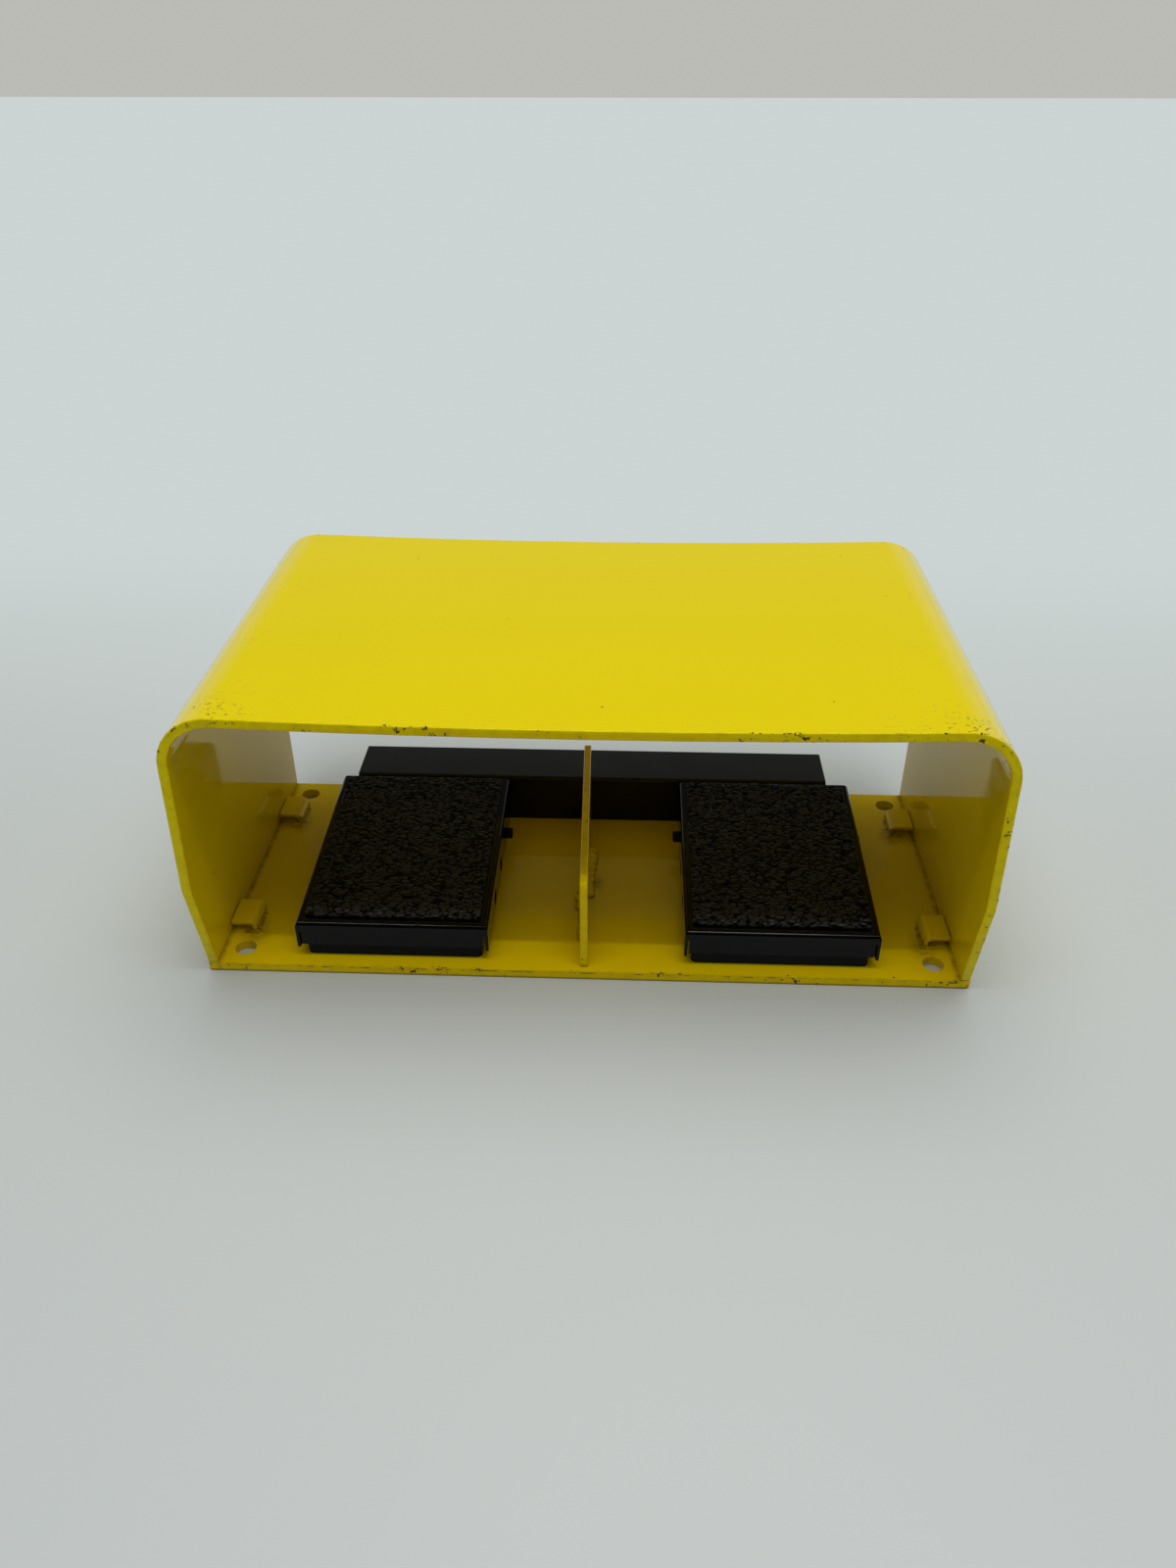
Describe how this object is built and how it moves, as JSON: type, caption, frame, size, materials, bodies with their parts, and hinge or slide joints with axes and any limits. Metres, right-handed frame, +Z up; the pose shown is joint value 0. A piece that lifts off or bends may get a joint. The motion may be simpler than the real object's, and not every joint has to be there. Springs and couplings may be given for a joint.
{
  "type": "industrial foot switch",
  "caption": "Guarded foot switch: side-by-side sprung treadles under a bent steel hood on a bolt-down plate, with a wiring box behind.",
  "frame": {"origin": "bottom centre of the bounding box, on the floor under the base plate", "axes": "+X to the operator's right along the guard's width, +Y away from the operator towards the wiring box, +Z up"},
  "size_m": [0.305, 0.177, 0.12],
  "materials": {
    "yellow_enamel": "glossy baked enamel",
    "black_box_paint": "satin",
    "black_enamel": "semi-gloss",
    "zinc_steel": "zinc plated",
    "spring_steel": "bright wire",
    "pin_steel": "black oxide",
    "black_nylon": "moulded",
    "black_rubber": "matte",
    "tread_rubber": "pebble-grained",
    "phenolic": "moulded",
    "red_plastic": "moulded",
    "green_screw": "dyed zinc",
    "lead_sheath": "matte jacket",
    "brass": "plain"
  },
  "bodies": {
    "frame": {"base_plate": "yellow_enamel", "guard_hood": "yellow_enamel", "centre_divider": "yellow_enamel", "strap_clips": "yellow_enamel", "weld_beads": "yellow_enamel", "wiring_box": "black_box_paint", "box_brackets": "zinc_steel", "box_screws": "zinc_steel", "gland_body": "black_nylon", "gland_cap": "black_nylon", "gland_locknut": "black_nylon", "gland_seal": "black_rubber", "terminal_block": "phenolic", "terminal_screws": "zinc_steel", "ground_screw": "green_screw", "lead_left": "lead_sheath", "lead_right": "lead_sheath", "lead_grommets": "black_rubber", "pan_left": "black_enamel", "pan_right": "black_enamel", "pan_screws": "zinc_steel", "pivot_pin_left": "pin_steel", "pivot_pin_right": "pin_steel", "pivot_clips": "zinc_steel", "switch_bracket_left": "zinc_steel", "switch_bracket_right": "zinc_steel", "switch_body_left": "phenolic", "switch_body_right": "phenolic", "switch_screws": "zinc_steel", "switch_terminals": "brass", "stop_buffers": "black_rubber", "spring_seats": "zinc_steel", "return_spring_left": "spring_steel", "return_spring_right": "spring_steel"},
    "treadle_left": {"treadle_left": "black_enamel", "tread_pad_left": "tread_rubber", "striker_left": "zinc_steel"},
    "treadle_right": {"treadle_right": "black_enamel", "tread_pad_right": "tread_rubber", "striker_right": "zinc_steel"},
    "button_left": {"switch_button_left": "red_plastic"},
    "button_right": {"switch_button_right": "red_plastic"}
  },
  "joints": [
    {"name": "treadle_left_hinge", "type": "hinge", "parent": "frame", "child": "treadle_left", "pos_m": [-0.0775, 0, 0.014], "axis": [1, 0, 0], "range_deg": [0, 3.5], "stiffness_Nm_per_rad": 5, "springref_deg": -8.59, "deforming": ["return_spring_left"]},
    {"name": "button_left_slide", "type": "slide", "parent": "frame", "child": "button_left", "axis": [0, 0, -1], "range_m": [0, 0.0023]},
    {"name": "treadle_right_hinge", "type": "hinge", "parent": "frame", "child": "treadle_right", "pos_m": [0.0775, 0, 0.014], "axis": [1, 0, 0], "range_deg": [0, 3.5], "stiffness_Nm_per_rad": 5, "springref_deg": -8.59, "deforming": ["return_spring_right"]},
    {"name": "button_right_slide", "type": "slide", "parent": "frame", "child": "button_right", "axis": [0, 0, -1], "range_m": [0, 0.0023]}
  ],
  "couplings": [
    {"joint": "button_left_slide", "follows": "treadle_left_hinge", "m_per_rad": 0.0355},
    {"joint": "button_right_slide", "follows": "treadle_right_hinge", "m_per_rad": 0.0355}
  ]
}
